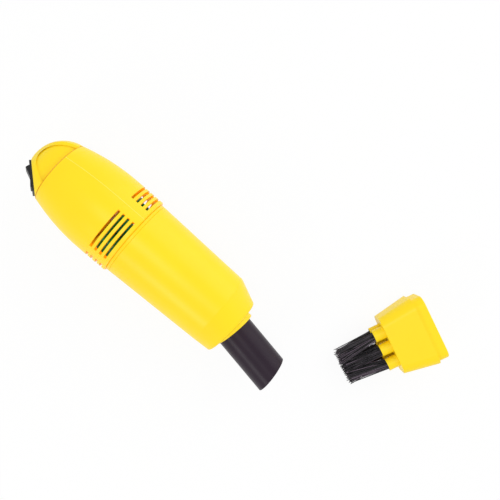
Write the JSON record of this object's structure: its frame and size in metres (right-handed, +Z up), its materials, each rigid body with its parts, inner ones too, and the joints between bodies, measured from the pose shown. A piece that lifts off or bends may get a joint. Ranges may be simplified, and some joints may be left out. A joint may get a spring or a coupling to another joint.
{
  "type": "mini hand vacuum cleaner",
  "caption": "Hand-held desk vacuum with a vented rear motor housing, pull-off dust chamber, angled tube nozzle, rocker switch and a separate push-on bristle brush.",
  "frame": {"origin": "middle of the footprint of the vacuum and its brush, on the desk", "axes": "+X from the tail to the nose along the body's axis, +Y from the body towards the loose brush's side, +Z up"},
  "size_m": [0.2176, 0.093, 0.0422],
  "materials": {
    "yellow_plastic": "smooth semi-gloss moulding",
    "black_satin_plastic": "satin extruded tube",
    "black_plastic": "fine matte moulding",
    "black_rubber": "matte rubber",
    "bristle": "fine nylon strands",
    "green_plastic": "smooth moulding",
    "white_plastic": "plain moulding",
    "filter_cloth": "pressed felt",
    "plated_steel": "bright plated",
    "lamination_steel": "stacked sheet",
    "magnet": "fired ferrite",
    "copper": "enamelled copper",
    "bronze": "plain metal",
    "red_insulation": "soft insulation"
  },
  "bodies": {
    "housing": {"rear_shell_left": "yellow_plastic", "rear_shell_right": "yellow_plastic", "tail_cap": "yellow_plastic", "cable_grommet": "black_rubber", "switch_case": "black_plastic", "switch_contacts": "bronze", "switch_lead": "red_insulation", "motor_can": "plated_steel", "motor_end_cap": "white_plastic", "motor_terminals": "bronze", "motor_bushes": "bronze", "motor_magnets": "magnet", "motor_sleeve": "black_rubber", "motor_plate": "plated_steel", "motor_screws": "plated_steel", "front_ring": "yellow_plastic", "ring_seal": "black_rubber"},
    "rotor": {"motor_shaft": "plated_steel", "armature_core": "lamination_steel", "armature_coils": "copper", "commutator": "copper", "fan_impeller": "green_plastic"},
    "rocker": {"switch_rocker": "black_plastic"},
    "filter": {"filter_frame": "white_plastic", "filter_cloth": "filter_cloth"},
    "chamber": {"front_chamber": "yellow_plastic"},
    "nozzle": {"nozzle_base": "yellow_plastic", "nozzle_tube": "black_satin_plastic"},
    "brush": {"brush_head": "yellow_plastic", "brush_back": "yellow_plastic", "brush_ferrules": "yellow_plastic", "brush_tufts": "bristle"}
  },
  "joints": [
    {"name": "fan_spin", "type": "hinge", "parent": "housing", "child": "rotor", "pos_m": [-0.05726, -0.02544, 0.0211], "axis": [1, 0, 0], "continuous": true},
    {"name": "switch_rock", "type": "hinge", "parent": "housing", "child": "rocker", "pos_m": [-0.10176, -0.03499, 0.02366], "axis": [0, -0.2588, -0.9659], "range_deg": [0, 14]},
    {"name": "filter_pull", "type": "slide", "parent": "housing", "child": "filter", "axis": [1, 0, 0], "range_m": [0, 0.015]},
    {"name": "chamber_pull", "type": "slide", "parent": "housing", "child": "chamber", "axis": [1, 0, 0], "range_m": [0, 0.03]},
    {"name": "nozzle_pull", "type": "slide", "parent": "chamber", "child": "nozzle", "axis": [0.9982, -0.0593, 0], "range_m": [0, 0.012]},
    {"name": "brush_lift", "type": "slide", "parent": "housing", "child": "brush", "axis": [0, 0, 1], "range_m": [0, 0.05]}
  ]
}
